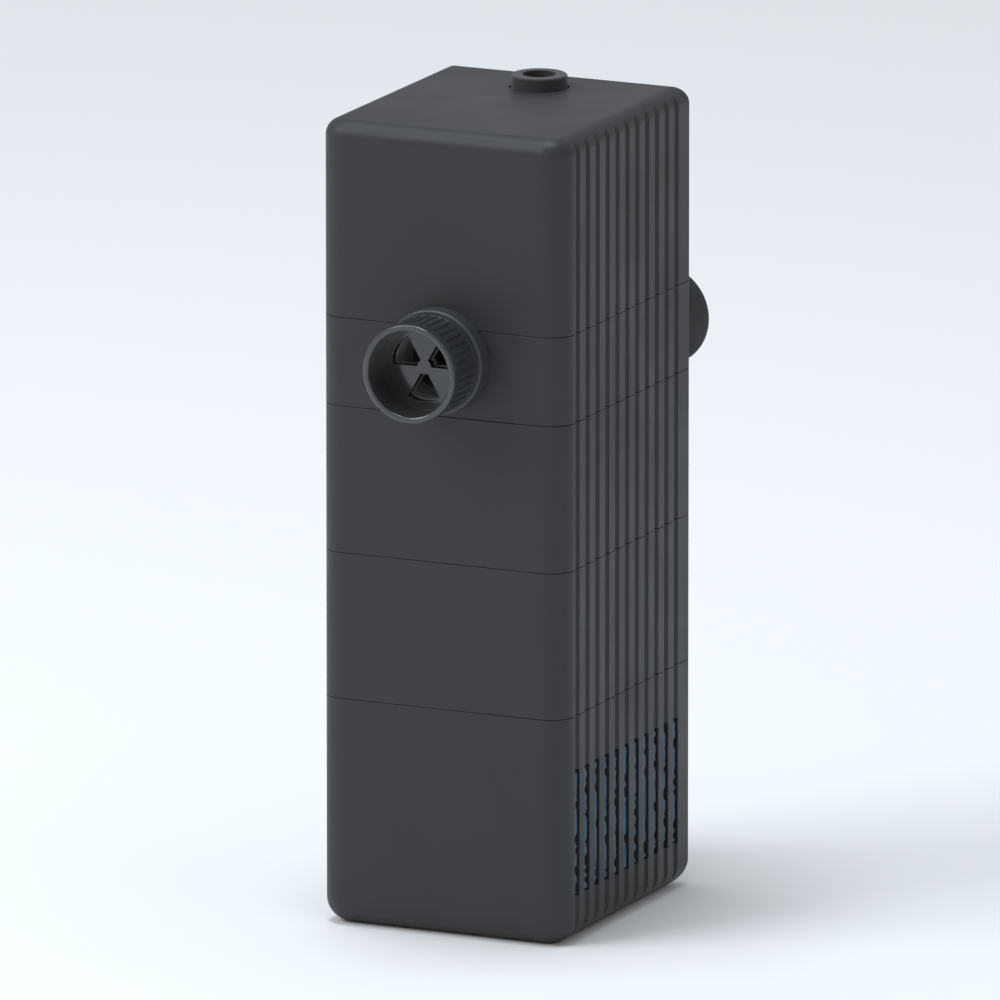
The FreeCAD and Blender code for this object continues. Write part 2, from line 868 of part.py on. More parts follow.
def make_volute():
    """The pump chamber: a round wall with the outlet tube straight out to the nozzle."""
    body = new_body("volute_housing", back="rotor_back")
    bottom = "upper_tray_top + shadow_gap + floor + impeller_cover_thickness"
    height = f"volute_top - ({bottom})"
    outer = "chamber_radius + chamber_wall"
    upright(body, "AdditiveCylinder", "chamber_wall_ring", outer, bottom, height)
    shoulder_face = "depth / 2 - neck_length - outlet_seal_thickness"
    tubes = (
        ("outlet_tube", "outlet_tube_radius", "0", "depth / 2 + rotor_back"),
        (
            "seal_shoulder",
            "outlet_shoulder_radius",
            f"{shoulder_face} - outlet_shoulder_length + rotor_back",
            "outlet_shoulder_length",
        ),
    )
    for name, radius, start, length in tubes:
        primitive(
            body,
            "AdditiveCylinder",
            name,
            plane="XZ_Plane",
            at=("0", "nozzle_height", start),
            Radius=radius,
            Height=length,
        )
    upright(body, "SubtractiveCylinder", "chamber", "chamber_radius", bottom, height)
    primitive(
        body,
        "SubtractiveCylinder",
        "outlet_bore",
        plane="XZ_Plane",
        at=("0", "nozzle_height", "0"),
        Radius="outlet_bore_radius",
        Height="depth / 2 + rotor_back",
    )


def make_volute_gasket():
    """The flat ring between the chamber and the motor."""
    body = new_body("volute_gasket", back="rotor_back")
    upright(
        body, "AdditiveCylinder", "ring", "chamber_radius + chamber_wall", "volute_top", "gasket_thickness"
    )
    upright(body, "SubtractiveCylinder", "hole", "chamber_radius", "volute_top", "gasket_thickness")


def make_outlet_seal():
    """The rubber ring squeezed between the collar's neck and the outlet tube's shoulder."""
    body = new_body("outlet_seal", back="-depth / 2 + neck_length", up="nozzle_height")
    for kind, name, radius in (
        ("AdditiveCylinder", "ring", "neck_radius"),
        ("SubtractiveCylinder", "hole", "outlet_tube_radius"),
    ):
        primitive(
            body,
            kind,
            name,
            plane="XZ_Plane",
            at=("0", "0", "-outlet_seal_thickness"),
            Radius=radius,
            Height="outlet_seal_thickness",
        )


def make_impeller():
    """Straight vanes under a disc, so that it pumps whichever way the motor starts."""
    body = new_body("impeller", back="rotor_back")
    disc_bottom = "impeller_top - impeller_disc"
    upright(body, "AdditiveCylinder", "disc", "impeller_radius", disc_bottom, "impeller_disc")
    hub_length = "magnet_bottom - impeller_bottom"
    upright(body, "AdditiveCylinder", "hub", "impeller_hub_radius", "impeller_bottom", hub_length)
    vane = primitive(
        body,
        "AdditiveBox",
        "vane",
        at=("-vane_thickness / 2", "shaft_radius + running_gap", "impeller_bottom"),
        Length="vane_thickness",
        Width="impeller_radius - shaft_radius - 2 * running_gap",
        Height="impeller_top - impeller_bottom - impeller_disc / 2",
    )
    repeat_round(body, "vanes", vane, "Z_Axis", "vane_count")
    bore = "shaft_radius + running_gap"
    upright(body, "SubtractiveCylinder", "bore", bore, "impeller_bottom", hub_length)


def make_rotor_magnet():
    """The two-pole ferrite magnet, a plain cylinder with a bore for the shaft."""
    body = new_body("rotor_magnet", back="rotor_back")
    upright(body, "AdditiveCylinder", "magnet", "magnet_radius", "magnet_bottom", "magnet_length")
    bore = "shaft_radius + running_gap"
    upright(body, "SubtractiveCylinder", "bore", bore, "magnet_bottom", "magnet_length")


def make_rotor_shaft():
    """The polished ceramic shaft, which stands still while the rotor spins on it."""
    body = new_body("rotor_shaft", back="rotor_back")
    upright(body, "AdditiveCylinder", "shaft", "shaft_radius", "shaft_bottom", "shaft_length")


# ---------------------------------------------------------------- motor

MOTOR_FLOOR = "(volute_top + gasket_thickness)"
MOTOR_MIDDLE = "((motor_front + motor_back) / 2)"
MOTOR_DEPTH = "(motor_back - motor_front)"


def motor_outline(body, name, inset, bottom):
    """The motor's rounded outline, drawn in by one wall thickness or not at all."""
    outline = new_sketch(body, name, at=("0", MOTOR_MIDDLE, bottom))
    rounded_rectangle(
        outline,
        f"motor_width - 2 * {inset}",
        f"{MOTOR_DEPTH} - 2 * {inset}",
        f"motor_corner - {inset}",
        f"motor_corner - {inset}",
    )
    return outline


def make_motor_housing():
    """The watertight can of the motor: a box with the closed rotor well standing up in it."""
    body = new_body("motor_housing")
    outline = motor_outline(body, "outline", "0", MOTOR_FLOOR)
    sweep(body, "Pad", "block", outline, f"motor_top - {MOTOR_FLOOR}")
    inside = motor_outline(body, "inside", "motor_wall", "motor_top")
    sweep(body, "Pocket", "hollow", inside, f"motor_top - {MOTOR_FLOOR} - motor_wall")
    for kind, name, radius, top in (
        ("AdditiveCylinder", "well", "well_radius", "top_bush_bottom + top_bush_length + well_cap"),
        ("SubtractiveCylinder", "well_bore", "well_bore_radius", "top_bush_bottom"),
        ("SubtractiveCylinder", "bush_seat", "top_bush_radius", "top_bush_bottom + top_bush_length"),
    ):
        primitive(
            body,
            kind,
            name,
            at=("0", "rotor_back", MOTOR_FLOOR),
            Radius=radius,
            Height=f"{top} - {MOTOR_FLOOR}",
        )


def make_stator_core():
    """The U of steel laminations: two poles round the rotor well, and legs through the coils."""
    body = new_body("stator_core")
    height = "core_top - core_bottom"
    primitive(
        body,
        "AdditiveBox",
        "stack",
        at=("-core_width / 2", "core_front", "core_bottom"),
        Length="core_width",
        Width="core_back - core_front",
        Height=height,
    )
    primitive(
        body,
        "SubtractiveCylinder",
        "bore",
        at=("0", "rotor_back", "core_bottom"),
        Radius="core_bore_radius",
        Height=height,
    )
    primitive(
        body,
        "SubtractiveBox",
        "window",
        at=("-core_width / 2 + leg_width", "coil_front", "core_bottom"),
        Length="core_width - 2 * leg_width",
        Width="coil_back - coil_front",
        Height=height,
    )
    primitive(
        body,
        "SubtractiveBox",
        "pole_slit",
        at=("-core_slit / 2", "core_front", "core_bottom"),
        Length="core_slit",
        Width="coil_back - core_front",
        Height=height,
    )


def leg_box(body, kind, name, side, growth, start, end):
    """A box round one leg of the core, larger than the leg by growth on four sides."""
    middle = f"{side}(core_width / 2 - leg_width / 2)"
    return primitive(
        body,
        kind,
        name,
        at=(f"{middle} - leg_width / 2 - {growth}", start, f"core_bottom - {growth}"),
        Length=f"leg_width + 2 * {growth}",
        Width=f"({end}) - ({start})",
        Height=f"core_top - core_bottom + 2 * {growth}",
    )


def make_coil(side_name, side):
    """One bobbin with a flange at each end, and the enamelled copper wound between them."""
    flange = "(bobbin_wall + winding_thickness)"
    bobbin = new_body(f"bobbin_{side_name}")
    leg_box(bobbin, "AdditiveBox", "tube", side, "bobbin_wall", "coil_front", "coil_back")
    front_end = "coil_front + bobbin_flange"
    rear_end = "coil_back - bobbin_flange"
    leg_box(bobbin, "AdditiveBox", "front_flange", side, flange, "coil_front", front_end)
    leg_box(bobbin, "AdditiveBox", "rear_flange", side, flange, rear_end, "coil_back")
    leg_box(bobbin, "SubtractiveBox", "leg_hole", side, "0", "coil_front", "coil_back")
    winding = new_body(f"winding_{side_name}")
    leg_box(winding, "AdditiveBox", "wire", side, flange, front_end, rear_end)
    leg_box(winding, "SubtractiveBox", "tube_hole", side, "bobbin_wall", front_end, rear_end)


def make_potting_resin():
    """The resin poured round the core and coils, up to a little below the can's rim."""
    fill = new_body("resin_fill")
    parts.remove(fill)
    bottom = f"{MOTOR_FLOOR} + motor_wall"
    inside = motor_outline(fill, "inside", "motor_wall", bottom)
    sweep(fill, "Pad", "block", inside, f"motor_top - resin_drop - ({bottom})")
    primitive(
        fill,
        "SubtractiveCylinder",
        "well_hole",
        at=("0", "rotor_back", bottom),
        Radius="well_radius",
        Height=f"top_bush_bottom + top_bush_length + well_cap - ({bottom})",
    )
    sunk = doc.addObject("Part::MultiFuse", "sunk_parts")
    names = ("stator_core", "bobbin_left", "bobbin_right", "winding_left", "winding_right")
    sunk.Shapes = [part for part in parts if part.Label in names]
    resin = doc.addObject("Part::Cut", "potting_resin")
    resin.Label = "potting_resin"
    resin.Base = fill
    resin.Tool = sunk
    parts.append(resin)


def make_motor_pads():
    """Four rubber pads on the pump ring's posts, which keep the motor's hum from the shell."""
    size = {name: sheet.get(name) for name in DIMENSIONS}
    bottom = size["volute_top"] + size["gasket_thickness"] - size["motor_pad_thickness"]
    pads = []
    for side in (-1, 1):
        for back in (size["motor_post_front"], size["motor_post_back"]):
            foot = FreeCAD.Vector(side * size["motor_post_across"] / 2, back, bottom)
            pads.append(Part.makeCylinder(size["motor_pad_radius"], size["motor_pad_thickness"], foot))
    group = doc.addObject("Part::Feature", "motor_pads")
    group.Label = "motor_pads"
    group.Shape = Part.makeCompound(pads)
    parts.append(group)


def make_cable_gland():
    """The rubber gland set in the resin, where the cord enters through the cover."""
    body = new_body("cable_gland", back="gland_back")
    bottom = "motor_top - resin_drop"
    upright(body, "AdditiveCylinder", "flange", "gland_flange_radius", bottom, "gland_flange")
    upright(body, "AdditiveCylinder", "sleeve", "gland_radius", bottom, f"gland_top - ({bottom})")
    round_edges(
        body, "mouth_edge", "rim_rounding", lies_at("Z", DIMENSIONS["gland_top"])
    )
    upright(
        body,
        "SubtractiveCylinder",
        "cord_bore",
        "gland_bore_radius",
        "gland_top - gland_bore_depth",
        "gland_bore_depth",
    )


make_intake_base()
make_tray("lower_media_tray", "base_top", "lower_tray_top")
make_tray("upper_media_tray", "lower_tray_top", "upper_tray_top")
make_pump_ring()
make_top_cover()
make_media()
make_ceramic_rings()
make_outlet_collar()
make_flow_ring()
make_suction_cup("suction_cup_left", "-")
make_suction_cup("suction_cup_right", "")
make_impeller_cover()
make_bush("lower_bush", "shaft_bottom", "bush_length", "bush_radius")
make_bush("upper_bush", "top_bush_bottom", "top_bush_length", "top_bush_radius")
make_volute()
make_volute_gasket()
make_outlet_seal()
make_impeller()
make_rotor_magnet()
make_rotor_shaft()
make_motor_housing()
make_stator_core()
make_coil("left", "-")
make_coil("right", "")
make_potting_resin()
make_motor_pads()
make_cable_gland()
doc.recompute()

faults = [item.Name for item in doc.Objects if {"Invalid", "Error"} & set(item.State)]
for part in parts:
    if part.Shape.isNull() or not part.Shape.isValid() or not part.Shape.Solids:
        faults.append(part.Label)
if faults:
    raise SystemExit("failed: " + ", ".join(faults))

os.makedirs("parts", exist_ok=True)
for part in parts:
    part.Shape.exportStep(f"parts/{part.Label}.step")
    print(f"{part.Label}: {len(part.Shape.Solids)} solids, {part.Shape.Volume:.1f} mm3")
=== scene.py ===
import math
import random

import bmesh
import bpy
from mathutils import Matrix, Vector, noise


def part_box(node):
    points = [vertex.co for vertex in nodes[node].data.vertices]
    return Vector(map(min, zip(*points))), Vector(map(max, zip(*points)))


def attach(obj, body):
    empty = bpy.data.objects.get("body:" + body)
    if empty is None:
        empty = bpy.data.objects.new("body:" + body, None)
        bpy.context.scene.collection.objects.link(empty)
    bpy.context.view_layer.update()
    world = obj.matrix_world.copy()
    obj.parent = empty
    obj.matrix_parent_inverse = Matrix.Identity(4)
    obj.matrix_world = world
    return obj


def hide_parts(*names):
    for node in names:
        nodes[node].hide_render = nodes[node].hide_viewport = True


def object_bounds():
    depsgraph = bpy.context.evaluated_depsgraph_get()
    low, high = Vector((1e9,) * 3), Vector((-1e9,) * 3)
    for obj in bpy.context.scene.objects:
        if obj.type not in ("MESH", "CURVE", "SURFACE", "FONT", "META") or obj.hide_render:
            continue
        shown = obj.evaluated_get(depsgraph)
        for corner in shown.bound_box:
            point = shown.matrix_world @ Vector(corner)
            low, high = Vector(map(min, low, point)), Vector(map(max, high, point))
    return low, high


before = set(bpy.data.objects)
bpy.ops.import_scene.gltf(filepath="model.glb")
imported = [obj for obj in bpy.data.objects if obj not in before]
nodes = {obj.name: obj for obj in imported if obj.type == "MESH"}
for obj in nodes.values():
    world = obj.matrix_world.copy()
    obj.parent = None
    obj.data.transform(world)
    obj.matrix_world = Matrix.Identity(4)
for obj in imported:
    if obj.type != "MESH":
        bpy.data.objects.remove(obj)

cad_low, cad_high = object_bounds()
MM = 0.001

# ---------------------------------------------------------------- studio
# The filter stands on a wide pale floor in a bright white room. A broad cool light hangs over the left
# front, a faint and warmer one on the right, and a third almost straight above.

FLOOR_RADIUS = 6.0
FLOOR_SIDES = 96
PAPER_WHITE = (0.92, 0.92, 0.92)
ROOM_WHITE = (0.93, 0.96, 1.0)
ROOM_STRENGTH = 0.5
SENSOR_WIDTH = 36.0
CLIP_DISTANCES = (0.1, 20.0)
VIEW_AZIMUTH = math.radians(24.8)
VIEW_ELEVATION = math.radians(13.1)
VIEW_DISTANCE = 3.69
FRAMED_SPAN = 0.152

filter_middle = (cad_low + cad_high) / 2


def new_object(name, mesh_maker):
    """A mesh object filled by a function that is given an empty bmesh."""
    mesh = bpy.data.meshes.new(name)
    shape = bmesh.new()
    mesh_maker(shape)
    shape.to_mesh(mesh)
    shape.free()
    made = bpy.data.objects.new(name, mesh)
    bpy.context.scene.collection.objects.link(made)
    return made


def smooth(piece, angle=35):
    """Shades a piece smooth, apart from edges sharper than the angle in degrees."""
    for face in piece.data.polygons:
        face.use_smooth = True
    piece.data.set_sharp_from_angle(angle=math.radians(angle))


def new_material(name, colour, roughness, **sockets):
    """A material with one Principled shader, its plain values set on the shader's own sockets."""
    material = bpy.data.materials.new(name)
    material.use_nodes = True
    shader = material.node_tree.nodes["Principled BSDF"]
    shader.inputs["Base Color"].default_value = (*colour, 1.0)
    shader.inputs["Roughness"].default_value = roughness
    for socket, value in sockets.items():
        shader.inputs[socket.replace("_", " ")].default_value = value
    return material


def make_floor(shape):
    """A broad flat disc."""
    bmesh.ops.create_circle(shape, cap_ends=True, segments=FLOOR_SIDES, radius=FLOOR_RADIUS)


floor = new_object("studio_floor", make_floor)
floor.data.materials.append(new_material("studio_paper", colour=PAPER_WHITE, roughness=0.9))


def add_softbox(name, place, size, power, colour):
    """A rectangular area light that looks at the middle of the filter."""
    data = bpy.data.lights.new(name, "AREA")
    data.shape = "RECTANGLE"
    data.size, data.size_y = size
    data.energy = power
    data.color = colour
    lamp = bpy.data.objects.new(name, data)
    bpy.context.scene.collection.objects.link(lamp)
    lamp.location = place
    lamp.rotation_mode = "QUATERNION"
    lamp.rotation_quaternion = (filter_middle - Vector(place)).to_track_quat("-Z", "Y")


add_softbox(
    "key_softbox", place=(-0.75, -0.75, 0.95), size=(0.7, 0.7), power=7.8, colour=(0.91, 0.95, 1.0)
)
add_softbox(
    "side_softbox", place=(1.1, -0.35, 0.55), size=(0.6, 0.9), power=0.25, colour=(1.0, 0.99, 0.97)
)
add_softbox(
    "top_softbox", place=(-0.1, -0.05, 1.2), size=(0.42, 0.42), power=6.5, colour=(0.84, 0.93, 1.0)
)

world = bpy.data.worlds.new("white_room")
world.use_nodes = True
background = world.node_tree.nodes["Background"]
background.inputs["Color"].default_value = (*ROOM_WHITE, 1.0)
background.inputs["Strength"].default_value = ROOM_STRENGTH
bpy.context.scene.world = world
bpy.context.scene.view_settings.view_transform = "Standard"

camera_data = bpy.data.cameras.new("camera")
camera_data.sensor_width = SENSOR_WIDTH
camera_data.lens = SENSOR_WIDTH * VIEW_DISTANCE / FRAMED_SPAN
camera_data.clip_start, camera_data.clip_end = CLIP_DISTANCES
camera = bpy.data.objects.new("camera", camera_data)
bpy.context.scene.collection.objects.link(camera)
towards_camera = Vector(
    (
        math.sin(VIEW_AZIMUTH) * math.cos(VIEW_ELEVATION),
        -math.cos(VIEW_AZIMUTH) * math.cos(VIEW_ELEVATION),
        math.sin(VIEW_ELEVATION),
    )
)
camera.location = filter_middle + towards_camera * VIEW_DISTANCE
camera.rotation_mode = "QUATERNION"
camera.rotation_quaternion = (-towards_camera).to_track_quat("-Z", "Y")
bpy.context.scene.camera = camera

# ---------------------------------------------------------------- moulded shell
# The base, the two trays, the pump ring and the cover are injection moulded in one charcoal plastic, with a
# fine spark-eroded skin that is worn a little smoother and paler along the edges. They push together.

SHELL_CHARCOAL = (0.024, 0.025, 0.027)
SHELL_PALE = (0.038, 0.039, 0.042)
SHELL_ROUGHNESS = (0.42, 0.54)
GRAIN_PER_METRE = 5200.0
GRAIN_STRENGTH = 0.6
CLOUD_PER_METRE = 75.0
CLOUD_RANGE = (0.3, 0.7)
BLOTCH_RANGE = (0.35, 0.68)
BLOTCH_SHARE = 0.3
EDGE_RADIUS = 0.3 * MM
EDGE_FACING = (0.985, 0.80)
# How far edges go towards the pale tone: wear on most mouldings, a painted highlight on the nozzle.
EDGE_WEAR_AND_HIGHLIGHT_SHARE = 0.7
RUBBED_POLISH = 0.08
BEVEL_SAMPLES = 6


def new_group(name, inputs, outputs):
    """An empty shader node group with float inputs (name to default) and outputs (name to socket type)."""
    group = bpy.data.node_groups.new(name, "ShaderNodeTree")
    for label, value in inputs.items():
        socket = group.interface.new_socket(label, in_out="INPUT", socket_type="NodeSocketFloat")
        socket.default_value = value
    for label, kind in outputs.items():
        group.interface.new_socket(label, in_out="OUTPUT", socket_type=kind)
    return group, group.nodes.new("NodeGroupInput"), group.nodes.new("NodeGroupOutput")


def put(tree, kind, settings=(), **sockets):
    """A node with its settings made and its sockets linked or set. Sockets go by name, with underscores for
    spaces, or by number as n0, n1 and so on."""
    node = tree.nodes.new(kind)
    for name, value in dict(settings).items():
        setattr(node, name, value)
    for name, value in sockets.items():
        key = int(name[1:]) if name[0] == "n" and name[1:].isdigit() else name.replace("_", " ")
        if isinstance(value, bpy.types.NodeSocket):
            tree.links.new(value, node.inputs[key])
        else:
            node.inputs[key].default_value = value
    return node


def calc(tree, operation, first, second=0.0, clamp=False):
    """A Math node's output."""
    made = put(tree, "ShaderNodeMath", {"operation": operation, "use_clamp": clamp}, n0=first, n1=second)
    return made.outputs[0]


def ramp(tree, value, low, high, to_low=0.0, to_high=1.0):
    """A value taken from one range to another, with soft ends."""
    made = put(
        tree,
        "ShaderNodeMapRange",
        {"interpolation_type": "SMOOTHSTEP"},
        Value=value,
        From_Min=low,
        From_Max=high,
        To_Min=to_low,
        To_Max=to_high,
    )
    return made.outputs["Result"]


def blend(tree, amount, first, second):
    """A colour between two that are each a socket or three plain numbers."""
    ends = [end if isinstance(end, bpy.types.NodeSocket) else (*end, 1.0) for end in (first, second)]
    made = put(tree, "ShaderNodeMix", {"data_type": "RGBA"}, n0=amount, n6=ends[0], n7=ends[1])
    return made.outputs[2]


def make_moulded_skin():
    """Fine grain, a broad cloudiness and a mask of the rounded edges of a moulding, used for wear and for
    painted edge highlights.
    """
    group, given, result = new_group(
        "moulded_skin",
        {"Grain Scale": GRAIN_PER_METRE, "Cloud Scale": CLOUD_PER_METRE, "Edge Radius": EDGE_RADIUS},
        {"Grain": "NodeSocketFloat", "Cloud": "NodeSocketFloat", "Edge": "NodeSocketFloat"},
    )
    place = group.nodes.new("ShaderNodeTexCoord").outputs["Object"]
    grain = put(group, "ShaderNodeTexNoise", Vector=place, Scale=given.outputs["Grain Scale"], Detail=2.0)
    cloud = put(group, "ShaderNodeTexNoise", Vector=place, Scale=given.outputs["Cloud Scale"], Detail=5.0)
    bevel = put(group, "ShaderNodeBevel", {"samples": BEVEL_SAMPLES}, Radius=given.outputs["Edge Radius"])
    plain = group.nodes.new("ShaderNodeNewGeometry").outputs["Normal"]
    facing = put(group, "ShaderNodeVectorMath", {"operation": "DOT_PRODUCT"}, n0=bevel.outputs[0], n1=plain)
    edge = ramp(group, facing.outputs["Value"], *EDGE_FACING)
    group.links.new(grain.outputs["Fac"], result.inputs["Grain"])
    group.links.new(cloud.outputs["Fac"], result.inputs["Cloud"])
    group.links.new(edge, result.inputs["Edge"])
    return group


moulded_skin = make_moulded_skin()


def moulded_plastic(name, dark, pale, roughness, grain_depth, edge_radius=EDGE_RADIUS, **sockets):
    """A moulded plastic: two tones clouded together, paler edges (wear on most parts, a painted highlight
    on the nozzle's rim), and grain in its relief.
    """
    material = new_material(name, dark, roughness[0], **sockets)
    tree = material.node_tree
    shader = tree.nodes["Principled BSDF"]
    skin = put(tree, "ShaderNodeGroup", {"node_tree": moulded_skin}, Edge_Radius=edge_radius)
    blotch = calc(tree, "MULTIPLY", ramp(tree, skin.outputs["Cloud"], *BLOTCH_RANGE), BLOTCH_SHARE)
    # Paler edges: wear on most mouldings, and a painted highlight where the pale tone is the nozzle's
    # bluish one.
    wear_and_edge_highlight = calc(tree, "MULTIPLY", skin.outputs["Edge"], EDGE_WEAR_AND_HIGHLIGHT_SHARE)
    tone = blend(tree, calc(tree, "MAXIMUM", blotch, wear_and_edge_highlight), dark, pale)
    tree.links.new(tone, shader.inputs["Base Color"])
    clouded = ramp(tree, skin.outputs["Cloud"], *CLOUD_RANGE, *roughness)
    polish = calc(tree, "MULTIPLY", skin.outputs["Edge"], RUBBED_POLISH)
    tree.links.new(calc(tree, "SUBTRACT", clouded, polish), shader.inputs["Roughness"])
    rounded = put(tree, "ShaderNodeBevel", {"samples": BEVEL_SAMPLES}, Radius=edge_radius / 2)
    relief = put(
        tree,
        "ShaderNodeBump",
        Height=skin.outputs["Grain"],
        Normal=rounded.outputs[0],
        Distance=grain_depth,
        Strength=GRAIN_STRENGTH,
    )
    tree.links.new(relief.outputs[0], shader.inputs["Normal"])
    return material


def dress(material, *names):
    """Gives CAD nodes one material in every slot."""
    for name in names:
        for slot in nodes[name].material_slots:
            slot.material = material


shell_plastic = moulded_plastic(
    "shell_plastic",
    dark=SHELL_CHARCOAL,
    pale=SHELL_PALE,
    roughness=SHELL_ROUGHNESS,
    grain_depth=0.02 * MM,
    Specular_IOR_Level=0.42,
)
dress(shell_plastic, "intake_base", "lower_media_tray", "upper_media_tray", "pump_ring", "top_cover")

# ---------------------------------------------------------------- coarse sponge
# A block of blue reticulated foam fills the intake base, and bulges a little into the side slots. It is cut
# from a slab, so its skin is a net of ligaments round open cells.

COARSE_BLUE = (0.068, 0.14, 0.225)
# Painted shade deep in the coarse foam's open cells.
COARSE_PORE_SHADE_BLUE = (0.045, 0.09, 0.14)
COARSE_CELL = 1.7 * MM
COARSE_STEP = 0.36 * MM
COARSE_DEPTH = 0.48 * MM
COARSE_CORNER = 1.0 * MM
CORNER_SEGMENTS = 4
LIGAMENT = 0.10
LIGAMENT_FLANK = 0.38
SEED_SPREAD = (1.0, 0.37, 0.71)
SPECK_PER_METRE = 900.0
SPECK_SHADE = 0.15
CHEEK_PROUD = 0.85 * MM
CHEEK_HALF_DEPTH = 19.1 * MM
CHEEK_HEIGHTS = (7.0 * MM, 27.3 * MM)
SLOT_FIRST = -18.15 * MM
SLOT_PITCH = 3.6 * MM
SLOT_HALF_WIDTH = 0.85 * MM
SLOT_HEIGHTS = (7.5 * MM, 26.8 * MM)
SLOT_BULGE = 1.15 * MM


def foam_skin(piece, cell, depth, seed):
    """Sinks a foam's open cells into a piece, and keeps how deep each point lies as a point attribute,
    which the foam material uses to paint shade into the cells.
    """
    mesh = piece.data
    offset = Vector(seed * share for share in SEED_SPREAD)
    pore_shade_mask = mesh.attributes.new("pore_shade_mask", "FLOAT", "POINT")
    normals = [vertex.normal.copy() for vertex in mesh.vertices]
    for vertex, normal in zip(mesh.vertices, normals):
        distances, _ = noise.voronoi(vertex.co / cell + offset)
        wall = distances[1] - distances[0]
        open_part = min(1.0, max(0.0, (wall - LIGAMENT) / LIGAMENT_FLANK))
        open_part = open_part * open_part * (3 - 2 * open_part)
        pore_shade_mask.data[vertex.index].value = open_part
        vertex.co -= normal * depth * open_part


def pad_block(name, low, high, step, corner):
    """A finely divided block between two corners, with rounded upright edges."""
    size = high - low

    def fill(shape):
        bmesh.ops.create_cube(shape, size=1.0)
        upright = [edge for edge in shape.edges if abs(edge.verts[0].co.z - edge.verts[1].co.z) > 0.5]
        for vertex in shape.verts:
            vertex.co = Vector(low) + Vector(a * (b + 0.5) for a, b in zip(size, vertex.co))
        bmesh.ops.bevel(
            shape, geom=upright, offset=corner, segments=CORNER_SEGMENTS, affect="EDGES", profile=0.5
        )
        for axis in range(3):
            count = int(size[axis] / step)
            for cut in range(1, count):
                point = Vector(low)
                point[axis] += size[axis] * cut / count
                normal = Vector((0, 0, 0))
                normal[axis] = 1
                geometry = shape.verts[:] + shape.edges[:] + shape.faces[:]
                bmesh.ops.bisect_plane(shape, geom=geometry, plane_co=point, plane_no=normal)

    return new_object(name, fill)


def foam(name, bright, pore_shade_colour, roughness):
    """A foam's colour: its own colour on the ligaments, and painted shade in the open cells, darker the
    deeper they lie.
    """
    material = new_material(name, bright, roughness, Specular_IOR_Level=0.3)
    tree = material.node_tree
    shader = tree.nodes["Principled BSDF"]
    pore_shade_mask = put(tree, "ShaderNodeAttribute", {"attribute_name": "pore_shade_mask"}).outputs["Fac"]
    place = tree.nodes.new("ShaderNodeTexCoord").outputs["Object"]
    speck = put(tree, "ShaderNodeTexNoise", Vector=place, Scale=SPECK_PER_METRE, Detail=3.0)
    uneven = ramp(tree, speck.outputs["Fac"], *CLOUD_RANGE, -SPECK_SHADE, SPECK_SHADE)
    # The open cells are painted darker as shade, on top of the real sunken cells.
    tone = blend(tree, calc(tree, "ADD", pore_shade_mask, uneven, clamp=True), bright, pore_shade_colour)
    tree.links.new(tone, shader.inputs["Base Color"])
    relief = put(tree, "ShaderNodeBump", Height=speck.outputs["Fac"], Distance=0.05 * MM, Strength=0.5)
    tree.links.new(relief.outputs[0], shader.inputs["Normal"])
    return material


def declare_pad(piece, node, body, material):
    """Gives a pad its finish, hangs it on its body and hides the CAD pad that it stands for."""
    piece.data.materials.append(material)
    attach(piece, body)
    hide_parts(node)


def push_out_cheeks(piece, inner, outer):
    """Moves the sides of the sponge out against the thin screens, and on into the slots."""
    low, high = CHEEK_HEIGHTS
    close = COARSE_STEP / 4
    for vertex in piece.data.vertices:
        place = vertex.co
        on_side = abs(abs(place.x) - inner) < close
        if on_side and abs(place.y) < CHEEK_HALF_DEPTH and low < place.z < high:
            across = (place.y - SLOT_FIRST) / SLOT_PITCH
            off_centre = abs(across - round(across)) * SLOT_PITCH / SLOT_HALF_WIDTH
            in_slot = off_centre < 1 and SLOT_HEIGHTS[0] < place.z < SLOT_HEIGHTS[1]
            bulge = SLOT_BULGE * math.sqrt(1 - off_centre**2) if in_slot else 0.0
            place.x = math.copysign(outer + bulge, place.x)
    piece.data.update()


def make_coarse_sponge():
    """The foam block, pushed out into the slots and then given its open cells."""
    low, high = (Vector(corner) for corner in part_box("coarse_sponge"))
    outer = high.x
    inset = Vector((CHEEK_PROUD, 0, 0))
    piece = pad_block("coarse_sponge_foam", low + inset, high - inset, COARSE_STEP, COARSE_CORNER)
    push_out_cheeks(piece, outer - CHEEK_PROUD, outer)
    foam_skin(piece, COARSE_CELL, COARSE_DEPTH, seed=3.0)
    smooth(piece, angle=180)
    declare_pad(piece, "coarse_sponge", "base", blue_foam)


blue_foam = foam("blue_foam", bright=COARSE_BLUE, pore_shade_colour=COARSE_PORE_SHADE_BLUE, roughness=0.75)
make_coarse_sponge()

# ---------------------------------------------------------------- ceramic rings
# Thirty-two short tubes of pale sintered ceramic lie loose in the lower tray, in two layers. Some stand and
# some lie on their side. The fired clay is porous and dusty, with chipped rims.

RING_COUNTS = (4, 4, 2)
RING_OUTER = 3.8 * MM
RING_BORE = 2.1 * MM
RING_HALF_LENGTH = 3.9 * MM
RING_RIM = 0.35 * MM
RING_SIDES = 40
RING_RIM_ROUND = 0.3
RING_LEVELS = 7
RING_TILT = math.radians(2.5)
RING_TURNED_ABOUT = ("Y", "X", "Y", "X", None)
RING_SEED = 11
CLAY_ROUGHNESS = 0.12 * MM
CLAY_LUMPS = ((900, 0.6), (2600, 0.4))
CLAY_LUMP_LIMIT = 0.2
ON_AXIS = 0.001 * MM
SPECK_RANGE = (0.42, 0.66)
SPECK_SHARE = 0.6
BROAD_TIMES_SPECK = 12
BROAD_RANGE = (0.35, 0.7)
BROAD_SHARE = 0.5
BROAD_DULLS = 0.12


